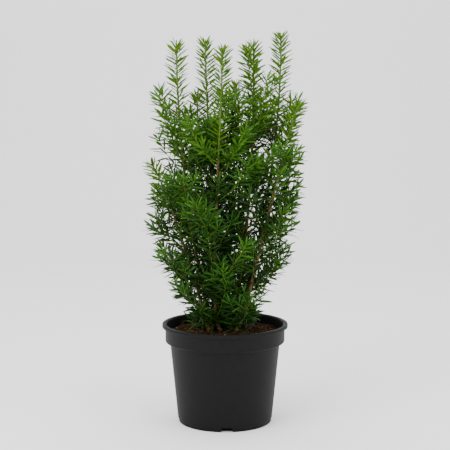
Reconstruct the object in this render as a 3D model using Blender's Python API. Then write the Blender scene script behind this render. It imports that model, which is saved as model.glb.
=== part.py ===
"""A young upright hybrid yew with several stems, in a round black nursery pot.

Metres, +Z up. The origin is the centre of the pot's flat underside, and -Y is the
side that faces the viewer. The stems rise from a flat cut on the soil, each mass of
needles is one closed uneven solid round its own shoot, and neighbouring solids keep
a small gap.
"""
import math
from random import Random
from typing import NamedTuple

import bmesh
import bpy
import numpy as np

MM = 0.001
GAP = 0.35 * MM

# Pot, a moulded 3 litre container 190 mm across and 150 mm high
POT_HEIGHT = 150 * MM
POT_LIP_RADIUS = 95 * MM
POT_LIP_DEPTH = 5.5 * MM
POT_LIP_TOP_WIDTH = 4.1 * MM
POT_COLLAR_TOP_RADIUS = 90.2 * MM
POT_COLLAR_FOOT_RADIUS = 88.3 * MM
POT_COLLAR_FOOT = 126 * MM
POT_STEP_FOOT = 120 * MM
POT_SHOULDER_RADIUS = 83 * MM
POT_BASE_RADIUS = 71.7 * MM
POT_FOOT_HEIGHT = 6.5 * MM
POT_FOOT_INSET = 1.3 * MM
POT_WALL = 1.7 * MM
POT_FLOOR = 2 * MM
POT_SIDES = 36
NOTCH_COUNT = 4
NOTCH_TOP_WIDTH = 14.5 * MM
NOTCH_FOOT_WIDTH = 19 * MM
NOTCH_INNER_RADIUS = 61 * MM
NOTCH_TURN = math.radians(2.3)
CUTTER_MARGIN = 1 * MM

# Soil, level where the stems stand and sloping to the wall
SOIL_TOP = 139 * MM
SOIL_EDGE = 135 * MM
SOIL_LEVEL_RADIUS = 36 * MM
SOIL_ROUGHNESS = 1.2 * MM
SOIL_SEED = 4

# Crown outline: height, reach to the left and reach to the right
CROWN_OUTLINE = (
    (0.145, 0.036, 0.036),
    (0.187, 0.070, 0.064),
    (0.228, 0.107, 0.091),
    (0.280, 0.109, 0.098),
    (0.330, 0.107, 0.113),
    (0.400, 0.110, 0.113),
    (0.450, 0.103, 0.112),
    (0.500, 0.096, 0.108),
    (0.560, 0.092, 0.102),
)
CROWN_DEPTH_RATIO = 0.9
CROWN_SLACK = 1.03

# Stems
STEM_SIDES = 8
STEM_FOOT_RADIUS = 2.9 * MM
STEM_TIP_RADIUS = 1.1 * MM
STEM_FLARE = 1.1 * MM
STEM_FLARE_HEIGHT = 6 * MM
STEM_SWAY_POWER = 0.45
STEM_LOWER_PARTS = (0, 0.02, 0.08, 0.2, 0.36, 0.54, 0.76)
STEM_UPPER_PARTS = (0, 0.25, 0.5, 0.75, 1)

# Masses of needles
MASS_SIDES = 8
MASS_TUFT = 9 * MM
MASS_UNEVENNESS = 0.13
MASS_GAP = 2.6 * MM
MASS_WOOD_GAP = 1.2 * MM
MASS_SEAT_RADIUS = 2.6 * MM
MASS_LEAST_WALL = 1.2 * MM
MASS_TRIES = 18
LEADER_RADIUS = 18 * MM
LEADER_PROFILE = ((0, 0.62), (0.14, 0.98), (0.36, 1.02), (0.6, 0.92), (0.8, 0.72), (0.94, 0.4))
SPRAY_WIDTH = 28 * MM
SPRAY_THICKNESS = 25 * MM
SPRAY_PROFILE = ((0.14, 0.5), (0.32, 0.88), (0.52, 1), (0.7, 0.9), (0.85, 0.66), (0.95, 0.34))
SPRAY_SAMPLES = 24
SPRAY_TURNS = (0, 9, -9, 18, -18, 27, -27, 36, -36, 45, -45)
SPRAY_FREE_WAY = 17 * MM
SPRAY_SEED = 21

# Side shoots: single ones lower down, and a pair just under each long leader
SINGLE_REACH = 64 * MM
SINGLE_SLOPE = 0.95
SINGLE_SPREAD = 62
PAIR_REACH = 44 * MM
PAIR_SLOPE = 1.5
PAIR_SPREAD = 78
PAIR_DROP = (10 * MM, 17 * MM)
LEAST_REACH = 17 * MM
LEAST_RISE = 34 * MM

# Bare foot of the two main side limbs
BOUGH_FOOT_RADIUS = 1.6 * MM
BOUGH_END_RADIUS = 1.3 * MM
BOUGH_SHARE = 0.24
BOUGH_PARTS = (0.3, 0.65, 1)


class Stem(NamedTuple):
    """One stem with its leader and the side shoots it bears. Lengths are millimetres, turns degrees."""

    name: str
    foot: tuple
    tip: tuple
    bow: float
    sway: float
    leader: float
    facing: float
    singles: int
    lowest: float
    highest: float
    pair: bool


STEMS = (
    Stem("front", (-6, -10), (-3, -45, 563), 1.0, -10, 165, -90, 4, 156, 338, True),
    Stem("left", (-20, 4), (-71, -10, 572), 1.9, 0, 167, -140, 2, 205, 312, True),
    Stem("outer_left", (-24, -8), (-109, 0, 398), 0.8, 0, 66, 180, 4, 150, 318, False),
    Stem("centre", (-8, 14), (-30, 35, 577), 1.2, 0, 168, 205, 1, 262, 262, True),
    Stem("right", (8, 2), (42, 0, 572), 2.4, 2, 132, -55, 3, 178, 352, True),
    Stem("outer_right", (16, -10), (107, -15, 486), 0.9, 6, 80, -12, 5, 152, 372, False),
    Stem("far_right", (16, 12), (84, 30, 586), 2.0, 0, 143, 48, 1, 292, 292, True),
    Stem("back_right", (0, 24), (17, 62, 515), 1.5, 0, 118, 72, 2, 172, 285, True),
    Stem("back_left", (-14, 20), (-43, 60, 500), 1.4, 0, 112, 132, 2, 186, 296, True),
)


class Bough(NamedTuple):
    """A main side limb that takes the place of one shoot of a pair. Lengths are millimetres."""

    stem: str
    side: int
    tip: tuple


BOUGHS = (
    Bough("left", -1, (-94, -22, 498)),
    Bough("right", 1, (61, -30, 516)),
)


def vec(values):
    """Millimetres as an array in metres."""
    return np.array(values, float) * MM


def unit(direction):
    return direction / np.linalg.norm(direction)


def between(start, end, share):
    return start + (end - start) * share


def clear_scene():
    for obj in list(bpy.data.objects):
        bpy.data.objects.remove(obj, do_unlink=True)


def new_material(name, colour, roughness):
    """A Principled BSDF of one linear colour."""
    material = bpy.data.materials.new(name)
    material.use_nodes = True
    shader = material.node_tree.nodes["Principled BSDF"]
    shader.inputs["Base Color"].default_value = (*colour, 1)
    shader.inputs["Roughness"].default_value = roughness
    shader.inputs["Metallic"].default_value = 0
    return material


def new_object(name, bm, material, sharp_degrees=35):
    """Turn a finished bmesh into an object that is shaded smooth but for its sharp edges."""
    mesh = bpy.data.meshes.new(name)
    bmesh.ops.recalc_face_normals(bm, faces=bm.faces)
    bm.to_mesh(mesh)
    bm.free()
    mesh.materials.append(material)
    mesh.shade_smooth()
    mesh.set_sharp_from_angle(angle=math.radians(sharp_degrees))
    obj = bpy.data.objects.new(name, mesh)
    bpy.context.collection.objects.link(obj)
    return obj


def skin(name, rings, start, end, material):
    """One closed skin over successive rings of equal count, with a fan at either end."""
    bm = bmesh.new()
    loops = [[bm.verts.new(point) for point in ring] for ring in rings]
    for low, high in zip(loops, loops[1:]):
        for k, corner in enumerate(low):
            following = (k + 1) % len(low)
            bm.faces.new((corner, low[following], high[following], high[k]))
    for centre, loop in ((start, loops[0]), (end, loops[-1])):
        hub = bm.verts.new(centre)
        for k, corner in enumerate(loop):
            bm.faces.new((hub, corner, loop[(k + 1) % len(loop)]))
    return new_object(name, bm, material)


def level_ring(centre, radius, sides):
    """A level ring of corners. The radius is one number or one number for each corner."""
    turns = np.arange(sides) * 2 * math.pi / sides
    spokes = np.stack([np.cos(turns), np.sin(turns), np.zeros(sides)], axis=1)
    return centre + spokes * np.broadcast_to(radius, sides)[:, None]


def tilted_spokes(side, up, width=1.0, thickness=1.0):
    """Spokes of a ring in the plane of two unit vectors."""
    turns = np.arange(MASS_SIDES) * 2 * math.pi / MASS_SIDES
    return np.outer(np.cos(turns) * width, side) + np.outer(np.sin(turns) * thickness, up)


def inner_radius(height):
    """Inner radius of the pot's wall below its step."""
    slope = (POT_SHOULDER_RADIUS - POT_BASE_RADIUS) / (POT_STEP_FOOT - POT_FOOT_HEIGHT)
    return POT_BASE_RADIUS - POT_WALL + slope * (height - POT_FOOT_HEIGHT)


def pot_profile():
    """Radius and height from the middle of the floor over the lip and down to the underside."""
    soft = 0.9 * MM
    collar_inner = POT_COLLAR_TOP_RADIUS - POT_WALL
    lip_foot = POT_HEIGHT - POT_LIP_DEPTH
    foot_radius = POT_BASE_RADIUS - POT_FOOT_INSET
    return (
        (0, POT_FLOOR),
        (inner_radius(POT_FLOOR), POT_FLOOR),
        (inner_radius(POT_STEP_FOOT), POT_STEP_FOOT),
        (POT_COLLAR_FOOT_RADIUS - POT_WALL, POT_COLLAR_FOOT),
        (collar_inner, POT_HEIGHT - 3 * soft),
        (POT_LIP_RADIUS - POT_LIP_TOP_WIDTH, POT_HEIGHT),
        (POT_LIP_RADIUS - soft, POT_HEIGHT),
        (POT_LIP_RADIUS, POT_HEIGHT - soft),
        (POT_LIP_RADIUS, lip_foot + soft),
        (POT_LIP_RADIUS - soft, lip_foot),
        (POT_COLLAR_TOP_RADIUS, lip_foot),
        (POT_COLLAR_FOOT_RADIUS, POT_COLLAR_FOOT),
        (POT_COLLAR_FOOT_RADIUS - 1.5 * soft, POT_COLLAR_FOOT - 1.5 * soft),
        (POT_SHOULDER_RADIUS, POT_STEP_FOOT),
        (POT_BASE_RADIUS, POT_FOOT_HEIGHT),
        (foot_radius, POT_FOOT_HEIGHT - soft),
        (foot_radius - soft, 0),
        (0, 0),
    )


def turn_profile(obj, steps):
    """Turn a profile in the XZ plane once round the Z axis."""
    screw = obj.modifiers.new("Turn", "SCREW")
    screw.axis = "Z"
    screw.angle = 2 * math.pi
    screw.steps = steps
    screw.render_steps = steps
    screw.use_merge_vertices = True
    screw.merge_threshold = 0.0001
    screw.use_smooth_shade = True


def profile_object(name, points, material):
    """An open line of points in the XZ plane, ready to be turned."""
    mesh = bpy.data.meshes.new(name)
    vertices = [(radius, 0, height) for radius, height in points]
    edges = [(k, k + 1) for k in range(len(points) - 1)]
    mesh.from_pydata(vertices, edges, [])
    mesh.materials.append(material)
    obj = bpy.data.objects.new(name, mesh)
    bpy.context.collection.objects.link(obj)
    return obj


def notch_cutter():
    """Four blocks that cut the drain notches out of the foot and the edge of the floor."""
    bm = bmesh.new()
    outer = POT_BASE_RADIUS + 8 * MM
    for k in range(NOTCH_COUNT):
        turn = NOTCH_TURN + 2 * math.pi * k / NOTCH_COUNT
        rings = []
        for height, width in ((-CUTTER_MARGIN, NOTCH_FOOT_WIDTH), (POT_FOOT_HEIGHT, NOTCH_TOP_WIDTH)):
            corners = (
                (NOTCH_INNER_RADIUS, -width / 2),
                (outer, -width / 2),
                (outer, width / 2),
                (NOTCH_INNER_RADIUS, width / 2),
            )
            ring = []
            for along, across in corners:
                x = along * math.cos(turn) - across * math.sin(turn)
                y = along * math.sin(turn) + across * math.cos(turn)
                ring.append(bm.verts.new((x, y, height)))
            rings.append(ring)
        bottom, top = rings
        bm.faces.new(bottom[::-1])
        bm.faces.new(top)
        for k_side in range(4):
            following = (k_side + 1) % 4
            bm.faces.new((bottom[k_side], bottom[following], top[following], top[k_side]))
    return bm


def build_pot(material):
    cutter = new_object("notch_cutter", notch_cutter(), material)
    cutter.hide_render = True
    cutter.display_type = "WIRE"
    pot = profile_object("pot", pot_profile(), material)
    turn_profile(pot, POT_SIDES)
    cut = pot.modifiers.new("Drain notches", "BOOLEAN")
    cut.operation = "DIFFERENCE"
    cut.solver = "EXACT"
    cut.object = cutter


def build_soil(material):
    """The soil fills the pot to its uneven top and keeps the gap to wall and floor."""
    rng = Random(SOIL_SEED)
    wall = GAP * 1.3
    collar_slope = (POT_COLLAR_TOP_RADIUS - POT_COLLAR_FOOT_RADIUS) / (POT_HEIGHT - POT_COLLAR_FOOT)
    edge_radius = POT_COLLAR_FOOT_RADIUS - POT_WALL + collar_slope * (SOIL_EDGE - POT_COLLAR_FOOT)
    rings = []
    side = (
        (inner_radius(POT_FLOOR), POT_FLOOR + GAP),
        (inner_radius(POT_STEP_FOOT), POT_STEP_FOOT + GAP),
        (POT_COLLAR_FOOT_RADIUS - POT_WALL, POT_COLLAR_FOOT + GAP),
    )
    for radius, height in side:
        rings.append(level_ring(np.array((0, 0, height)), radius - wall, POT_SIDES))
    top = (
        (edge_radius - wall, SOIL_EDGE, SOIL_ROUGHNESS),
        (between(SOIL_LEVEL_RADIUS, edge_radius, 0.6), between(SOIL_TOP, SOIL_EDGE, 0.7), SOIL_ROUGHNESS),
        (SOIL_LEVEL_RADIUS, SOIL_TOP, 0),
    )
    for radius, height, roughness in top:
        ring = level_ring(np.array((0, 0, height)), radius, POT_SIDES)
        ring[:, 2] += [rng.uniform(-roughness, roughness) for _ in range(POT_SIDES)]
        rings.append(ring)
    skin("soil", rings, (0, 0, POT_FLOOR + GAP), (0, 0, SOIL_TOP), material)


def stem_centre(stem, share):
    """Centre of a stem at a share of its height."""
    foot = np.array((*vec(stem.foot), SOIL_TOP + GAP))
    tip = vec(stem.tip) - (0, 0, MASS_TUFT)
    lean = 1 - (1 - share) ** stem.bow
    centre = foot + (tip - foot) * (lean, lean, share)
    centre[0] += stem.sway * MM * math.sin(math.pi * share ** STEM_SWAY_POWER)
    return centre


def stem_radius(share, height):
    flare = STEM_FLARE * math.exp(-height / STEM_FLARE_HEIGHT)
    return between(STEM_FOOT_RADIUS, STEM_TIP_RADIUS, share) + flare


class Limb:
    """A stem or bough as a line of centres with radii. The rings of its solid stand on it."""

    def __init__(self, name, centres, radii):
        self.name = name
        self.centres = np.array(centres)
        self.radii = np.array(radii)

    def at_height(self, height):
        """Centre, direction and radius at a height, on the same straight runs as the solid."""
        heights = self.centres[:, 2]
        k = int(np.clip(np.searchsorted(heights, height) - 1, 0, len(heights) - 2))
        share = (height - heights[k]) / (heights[k + 1] - heights[k])
        centre = between(self.centres[k], self.centres[k + 1], share)
        radius = between(self.radii[k], self.radii[k + 1], share)
        return centre, unit(self.centres[k + 1] - self.centres[k]), radius

    def samples(self):
        """Closely spaced points and radii along the limb."""
        shares = np.linspace(0, 1, 8, endpoint=False)
        points = [between(a, b, s) for a, b in zip(self.centres, self.centres[1:]) for s in shares]
        radii = [between(a, b, s) for a, b in zip(self.radii, self.radii[1:]) for s in shares]
        return np.array(points + [self.centres[-1]]), np.array(radii + [self.radii[-1]])


def grow_stem(stem):
    """Centres of a stem: the woody part up to the leader, then the leader's own part."""
    height = (stem.tip[2] * MM - MASS_TUFT) - (SOIL_TOP + GAP)
    leader_share = 1 - (stem.leader * MM - MASS_TUFT) / height
    lower = [part * leader_share for part in STEM_LOWER_PARTS]
    upper = [between(leader_share, 1, part) for part in STEM_UPPER_PARTS]
    shares = lower + upper
    centres = [stem_centre(stem, share) for share in shares]
    radii = [stem_radius(share, share * height) for share in shares]
    return Limb(stem.name, centres, radii)


def crown_share(point):
    """How far out a point lies: 1 on the crown's outline, less inside it."""
    heights, lefts, rights = zip(*CROWN_OUTLINE)
    x, y, z = point.T
    left = np.interp(z, heights, lefts)
    right = np.interp(z, heights, rights)
    width = np.where(x < 0, left, right)
    depth = (left + right) / 2 * CROWN_DEPTH_RATIO
    return np.hypot(x / width, y / depth)


class Shoot:
    """The line of one side shoot: an arc in an upright plane, from its limb out and up to its tip."""

    def __init__(self, name, stem, root, heading, tip, seat_normal):
        self.name = name
        self.stem = stem
        self.side = unit(np.cross((0, 0, 1), heading))
        self.seat_normal = seat_normal
        run = np.dot(tip - root, heading)
        rise = tip[2] - root[2]
        bend = root + heading * run * 0.58 + np.array((0, 0, rise * 0.36))
        self.points = (root, bend, tip)

    def at(self, share):
        a, b, c = self.points
        return a * (1 - share) ** 2 + b * 2 * share * (1 - share) + c * share**2

    def direction(self, share):
        a, b, c = self.points
        return unit((b - a) * (1 - share) + (c - b) * share)

    def samples(self, start=0.0):
        return np.array([self.at(s) for s in np.linspace(start, 1, SPRAY_SAMPLES)])


def seat_on(limb, height, heading):
    """Where a shoot with a heading sits on its limb, and the square way out of the limb there."""
    centre, along, radius = limb.at_height(height)
    square = unit(heading - along * np.dot(heading, along))
    return centre + square * (radius + GAP), square


def aim_shoot(name, limb, height, azimuth, longest, slope):
    """A shoot that leaves its limb at a height and reaches the crown's outline or its own length."""
    turn = math.radians(azimuth)
    heading = np.array((math.cos(turn), math.sin(turn), 0))
    root, seat_normal = seat_on(limb, height, heading)
    reach = LEAST_REACH
    for reach in np.arange(LEAST_REACH, longest, 2 * MM):
        rise = max(LEAST_RISE, reach * slope)
        further = root + heading * (reach + 2 * MM) + (0, 0, rise)
        if crown_share(further) > 1:
            break
    rise = max(LEAST_RISE, reach * slope)
    return Shoot(name, limb.name, root, heading, root + heading * reach + (0, 0, rise), seat_normal)


def free_way(shoot, own, limbs, shoots):
    """The narrowest distance between the outer part of a shoot and everything else that grows."""
    line = shoot.samples(0.35)
    others = [limb.samples()[0] for limb in limbs if limb is not own]
    others += [other.samples() for other in shoots]
    cloud = np.concatenate(others)
    return np.min(np.linalg.norm(line[:, None] - cloud[None], axis=2))


def place_shoot(name, limb, height, azimuth, longest, slope, limbs, shoots):
    """Turn a shoot away from its neighbours until it has a free way, or take the freest."""
    best = None
    for turn in SPRAY_TURNS:
        shoot = aim_shoot(name, limb, height, azimuth + turn, longest, slope)
        room = free_way(shoot, limb, limbs, shoots)
        if best is None or room > best[0]:
            best = (room, shoot)
        if room >= SPRAY_FREE_WAY:
            break
    return best[1]


def bough_shoot(name, limb, height, tip):
    """The line of a bough, from its limb to a named tip."""
    heading = unit((tip - limb.at_height(height)[0]) * (1, 1, 0))
    root, seat_normal = seat_on(limb, height, heading)
    tip = np.array((*(root + heading * np.dot(tip - root, heading))[:2], tip[2]))
    return Shoot(name, limb.name, root, heading, tip, seat_normal)


def grow_shoots(stems, limbs):
    """The side shoots of every stem, pairs and boughs first and then the single ones."""
    shoots = []
    boughs = []
    for stem, limb in zip(stems, limbs):
        if not stem.pair:
            continue
        base = (stem.tip[2] - stem.leader) * MM
        for side, drop in zip((-1, 1), PAIR_DROP):
            name = f"{stem.name}_{'upper' if side < 0 else 'top'}"
            named = [b for b in BOUGHS if b.stem == stem.name and b.side == side]
            if named:
                shoot = bough_shoot(name, limb, base - drop, vec(named[0].tip))
                boughs.append(shoot)
            else:
                azimuth = stem.facing + side * PAIR_SPREAD
                shoot = place_shoot(
                    name, limb, base - drop, azimuth, PAIR_REACH, PAIR_SLOPE, limbs, shoots
                )
            shoots.append(shoot)
    for stem, limb in zip(stems, limbs):
        heights = np.linspace(stem.lowest, stem.highest, stem.singles) * MM
        for k, height in enumerate(heights):
            side = 1 if k % 2 else -1
            azimuth = stem.facing + side * SINGLE_SPREAD * (1 - 0.3 * (k % 3))
            name = f"{stem.name}_{k + 1}"
            shoots.append(
                place_shoot(name, limb, height, azimuth, SINGLE_REACH, SINGLE_SLOPE, limbs, shoots)
            )
    return shoots, boughs


def bough_limb(shoot):
    """The bare foot of a bough as a limb of its own."""
    shares = [part * BOUGH_SHARE for part in (0, *BOUGH_PARTS)]
    centres = [shoot.at(share) for share in shares]
    radii = [between(BOUGH_FOOT_RADIUS, BOUGH_END_RADIUS, s / BOUGH_SHARE) for s in shares]
    return Limb(shoot.name, centres, radii)


class Space:
    """What the masses share out between them: each keeps to the side of its own shoot."""

    def __init__(self, lines, limbs):
        points, radii = zip(*(limb.samples() for limb in limbs))
        self.wood = np.concatenate(points)
        self.wood_radius = np.concatenate(radii)
        self.wood_owner = np.concatenate([[limb.name] * len(p) for limb, p in zip(limbs, points)])
        self.lines = np.concatenate(list(lines.values()))
        self.line_owner = np.concatenate([[name] * len(line) for name, line in lines.items()])

    def is_free(self, point, owner, stem, seat=None):
        """Whether a point is inside the crown, off the pot, and nearer to its owner than to the rest."""
        if point[2] < SOIL_TOP + 2 * MM:
            return False
        over_rim = math.hypot(point[0], point[1]) > POT_SHOULDER_RADIUS - 2 * MM
        if over_rim and point[2] < POT_HEIGHT + 2 * MM:
            return False
        if point[2] < CROWN_OUTLINE[-2][0] and crown_share(point) > CROWN_SLACK:
            return False
        mine = self.line_owner == owner
        ways = np.linalg.norm(self.lines - point, axis=1)
        own = ways[mine].min()
        if ways[~mine].min() < own + MASS_GAP:
            return False
        bare = self.wood_owner == stem
        wood = np.linalg.norm(self.wood - point, axis=1) - self.wood_radius
        if wood[~bare].min() < own + MASS_WOOD_GAP:
            return False
        if seat is None:
            return True
        place, square = seat
        return wood[bare].min() > MASS_WOOD_GAP and np.dot(point - place, square) > MASS_WOOD_GAP

    def reach_out(self, centre, spoke, owner, stem, seat=None):
        """The furthest free point along a spoke."""
        furthest = 0
        for k in range(1, MASS_TRIES + 1):
            share = k / MASS_TRIES
            if not self.is_free(centre + spoke * share, owner, stem, seat):
                break
            furthest = share
        return centre + spoke * max(furthest, 0.5 / MASS_TRIES)


def uneven(rng, count):
    """A rough radius for each corner of a ring: a slow swell and a small jog."""
    phase = rng.uniform(0, 2 * math.pi)
    turns = np.arange(count) * 2 * math.pi / count
    swell = 0.5 * MASS_UNEVENNESS * np.cos(2 * turns + phase)
    jogs = np.array([rng.uniform(-MASS_UNEVENNESS, MASS_UNEVENNESS) for _ in range(count)])
    return 1 + swell + jogs


def build_stem(limb, material):
    rings = [level_ring(c, r, STEM_SIDES) for c, r in zip(limb.centres, limb.radii)]
    skin(f"stem_{limb.name}", rings, limb.centres[0], limb.centres[-1], material)


def build_leader(limb, space, rng, material):
    """The mass round a stem's green leader, cut round the stem and closed over its tip."""
    count = len(STEM_UPPER_PARTS)
    centres = limb.centres[-count:]
    radii = limb.radii[-count:]
    bore = [level_ring(c, r + GAP, MASS_SIDES) for c, r in zip(centres, radii)]
    bore_end = centres[-1] + (0, 0, GAP)
    bore[-1][:, 2] += GAP
    way = unit(centres[-1] - centres[-2])
    tip = centres[-1] + way * MASS_TUFT / way[2]
    outer = []
    for share, size in LEADER_PROFILE:
        height = between(centres[0][2], tip[2], share)
        if height < centres[-1][2]:
            centre = limb.at_height(height)[0]
        else:
            centre = centres[-1] + way * (height - centres[-1][2]) / way[2]
        radius = LEADER_RADIUS * size * uneven(rng, MASS_SIDES)
        spokes = level_ring(np.zeros(3), radius, MASS_SIDES)
        ring = np.array([space.reach_out(centre, spoke, limb.name, limb.name) for spoke in spokes])
        widths = np.linalg.norm(ring - centre, axis=1)
        widened = np.maximum(widths, radii[0] + GAP + MASS_LEAST_WALL)
        outer.append(level_ring(centre, widened, MASS_SIDES))
    skin(f"leader_{limb.name}", bore[::-1] + outer, bore_end, tip, material)


def build_spray(shoot, space, rng, material, bough=False):
    """The mass round one side shoot, seated on its stem or on the end of its bough."""
    start = BOUGH_SHARE if bough else 0
    if bough:
        along = shoot.direction(start)
        seat = shoot.at(start) + along * GAP
        up = np.cross(along, shoot.side)
    else:
        seat = shoot.at(0)
        up = unit(np.cross(shoot.seat_normal, shoot.side))
    rings = [seat + tilted_spokes(shoot.side, up) * MASS_SEAT_RADIUS]
    around = (shoot.at(0), shoot.seat_normal)
    for share, size in SPRAY_PROFILE:
        share = between(start, 1, share)
        up = np.cross(shoot.direction(share), shoot.side)
        spokes = tilted_spokes(shoot.side, up, SPRAY_WIDTH * size, SPRAY_THICKNESS * size)
        spokes *= uneven(rng, MASS_SIDES)[:, None]
        centre = shoot.at(share)
        ring = [space.reach_out(centre, spoke, shoot.name, shoot.stem, around) for spoke in spokes]
        rings.append(np.array(ring))
    skin(f"spray_{shoot.name}", rings, seat, shoot.at(1), material)


def build_bough(limb, shoot, material):
    """The bare foot of a bough: its first ring lies on its stem, the others square to its line."""
    shares = [part * BOUGH_SHARE for part in (0, *BOUGH_PARTS)]
    rings = []
    for k, (centre, radius, share) in enumerate(zip(limb.centres, limb.radii, shares)):
        along = shoot.seat_normal if k == 0 else shoot.direction(share)
        up = unit(np.cross(along, shoot.side))
        rings.append(centre + tilted_spokes(shoot.side, up) * radius)
    skin(f"bough_{shoot.name}", rings, limb.centres[0], limb.centres[-1], material)


def main():
    clear_scene()
    plastic = new_material("pot_black_plastic", (0.012, 0.012, 0.012), 0.42)
    peat = new_material("peat_soil", (0.045, 0.028, 0.018), 0.95)
    bark = new_material("yew_bark", (0.19, 0.085, 0.04), 0.8)
    fresh = new_material("yew_needles_fresh", (0.22, 0.36, 0.05), 0.5)
    mature = new_material("yew_needles_mature", (0.035, 0.09, 0.022), 0.5)
    build_pot(plastic)
    build_soil(peat)
    limbs = [grow_stem(stem) for stem in STEMS]
    shoots, bough_shoots = grow_shoots(STEMS, limbs)
    bough_limbs = [bough_limb(shoot) for shoot in bough_shoots]
    lines = {shoot.name: shoot.samples(BOUGH_SHARE if shoot in bough_shoots else 0) for shoot in shoots}
    for stem, limb in zip(STEMS, limbs):
        centres = limb.samples()[0]
        lines[stem.name] = centres[centres[:, 2] >= (stem.tip[2] - stem.leader) * MM]
    space = Space(lines, limbs + bough_limbs)
    rng = Random(SPRAY_SEED)
    for limb in limbs:
        build_stem(limb, bark)
    for limb in limbs:
        build_leader(limb, space, rng, fresh)
    for limb, shoot in zip(bough_limbs, bough_shoots):
        build_bough(limb, shoot, bark)
    for shoot in shoots:
        build_spray(shoot, space, rng, mature, shoot in bough_shoots)


main()
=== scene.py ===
"""Looks of a young upright hybrid yew in a round black nursery pot.

Metres, +Z up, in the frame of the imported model. Each operator makes one group of
like pieces. The stems and shoots follow the growth rule of the solids, and needles
grow along every shoot.
"""
import math
from random import Random
from typing import NamedTuple

import bpy
import numpy as np
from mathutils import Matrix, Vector, noise


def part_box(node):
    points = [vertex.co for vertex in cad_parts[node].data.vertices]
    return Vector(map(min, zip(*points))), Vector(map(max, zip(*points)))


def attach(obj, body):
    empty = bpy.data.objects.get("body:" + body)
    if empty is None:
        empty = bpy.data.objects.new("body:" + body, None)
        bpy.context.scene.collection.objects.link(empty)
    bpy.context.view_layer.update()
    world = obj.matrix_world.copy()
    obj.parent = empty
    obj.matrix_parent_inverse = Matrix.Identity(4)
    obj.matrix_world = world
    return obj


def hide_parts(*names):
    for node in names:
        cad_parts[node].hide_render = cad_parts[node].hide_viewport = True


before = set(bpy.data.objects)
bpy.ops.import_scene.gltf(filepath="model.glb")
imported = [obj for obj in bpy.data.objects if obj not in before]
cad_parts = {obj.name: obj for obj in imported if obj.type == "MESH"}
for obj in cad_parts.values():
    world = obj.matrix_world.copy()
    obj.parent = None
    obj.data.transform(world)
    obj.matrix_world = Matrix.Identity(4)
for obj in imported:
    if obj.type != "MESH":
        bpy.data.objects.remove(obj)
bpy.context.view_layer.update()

bl_info = {
    "name": "Potted upright yew",
    "version": (1, 0, 0),
    "blender": (4, 5, 0),
    "location": "3D View > Sidebar > Yew",
    "description": "Finishes a young upright hybrid yew in its nursery pot",
    "category": "Object",
}

NODES = sorted(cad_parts)
MM = 0.001
GAP = 0.35 * MM
SOIL_TOP = 139 * MM

# Crown outline: height, reach to the left and reach to the right
CROWN_OUTLINE = (
    (0.145, 0.036, 0.036),
    (0.187, 0.070, 0.064),
    (0.228, 0.107, 0.091),
    (0.280, 0.109, 0.098),
    (0.330, 0.107, 0.113),
    (0.400, 0.110, 0.113),
    (0.450, 0.103, 0.112),
    (0.500, 0.096, 0.108),
    (0.560, 0.092, 0.102),
)
CROWN_DEPTH_RATIO = 0.9

# Stems
STEM_FOOT_RADIUS = 2.9 * MM
STEM_TIP_RADIUS = 1.1 * MM
STEM_FLARE = 1.1 * MM
STEM_FLARE_HEIGHT = 6 * MM
STEM_SWAY_POWER = 0.45
STEM_PARTS = 60
LIMB_SAMPLES = 8
LEADER_TUFT = 9 * MM
SPRAY_SAMPLES = 24
SPRAY_TURNS = (0, 9, -9, 18, -18, 27, -27, 36, -36, 45, -45)
SPRAY_FREE_WAY = 17 * MM
SPRAY_OUTER_SHARE = 0.35

# Side shoots: single ones lower down, and a pair just under each long leader
SINGLE_REACH = 64 * MM
SINGLE_SLOPE = 0.95
SINGLE_SPREAD = 62
SINGLE_SPREAD_LOSS = 0.3
PAIR_REACH = 44 * MM
PAIR_SLOPE = 1.5
PAIR_SPREAD = 78
PAIR_DROP = (10 * MM, 17 * MM)
LEAST_REACH = 17 * MM
LEAST_RISE = 34 * MM
REACH_STEP = 2 * MM
BEND_RUN = 0.58
BEND_RISE = 0.36


class Stem(NamedTuple):
    """One stem with its leader and the side shoots it bears. Lengths are millimetres, turns degrees."""

    name: str
    foot: tuple
    tip: tuple
    bow: float
    sway: float
    leader: float
    facing: float
    singles: int
    lowest: float
    highest: float
    pair: bool

    def leader_foot(self):
        """Height in metres where the green leader begins."""
        return (self.tip[2] - self.leader) * MM


STEMS = (
    Stem("front", (-6, -10), (-3, -45, 563), 1.0, -10, 165, -90, 4, 156, 338, True),
    Stem("left", (-20, 4), (-71, -10, 572), 1.9, 0, 167, -140, 2, 205, 312, True),
    Stem("outer_left", (-24, -8), (-109, 0, 398), 0.8, 0, 66, 180, 4, 150, 318, False),
    Stem("centre", (-8, 14), (-30, 35, 577), 1.2, 0, 168, 205, 1, 262, 262, True),
    Stem("right", (8, 2), (42, 0, 572), 2.4, 2, 132, -55, 3, 178, 352, True),
    Stem("outer_right", (16, -10), (107, -15, 486), 0.9, 6, 80, -12, 5, 152, 372, False),
    Stem("far_right", (16, 12), (84, 30, 586), 2.0, 0, 143, 48, 1, 292, 292, True),
    Stem("back_right", (0, 24), (17, 62, 515), 1.5, 0, 118, 72, 2, 172, 285, True),
    Stem("back_left", (-14, 20), (-43, 60, 500), 1.4, 0, 112, 132, 2, 186, 296, True),
)


class Bough(NamedTuple):
    """A main side limb that takes the place of one shoot of a pair. Lengths are millimetres."""

    stem: str
    side: int
    tip: tuple


BOUGHS = (
    Bough("left", -1, (-94, -22, 498)),
    Bough("right", 1, (61, -30, 516)),
)


def vec(values):
    """Millimetres as an array in metres."""
    return np.array(values, float) * MM


def unit(direction):
    return direction / np.linalg.norm(direction)


def between(start, end, share):
    return start + (end - start) * share


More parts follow.
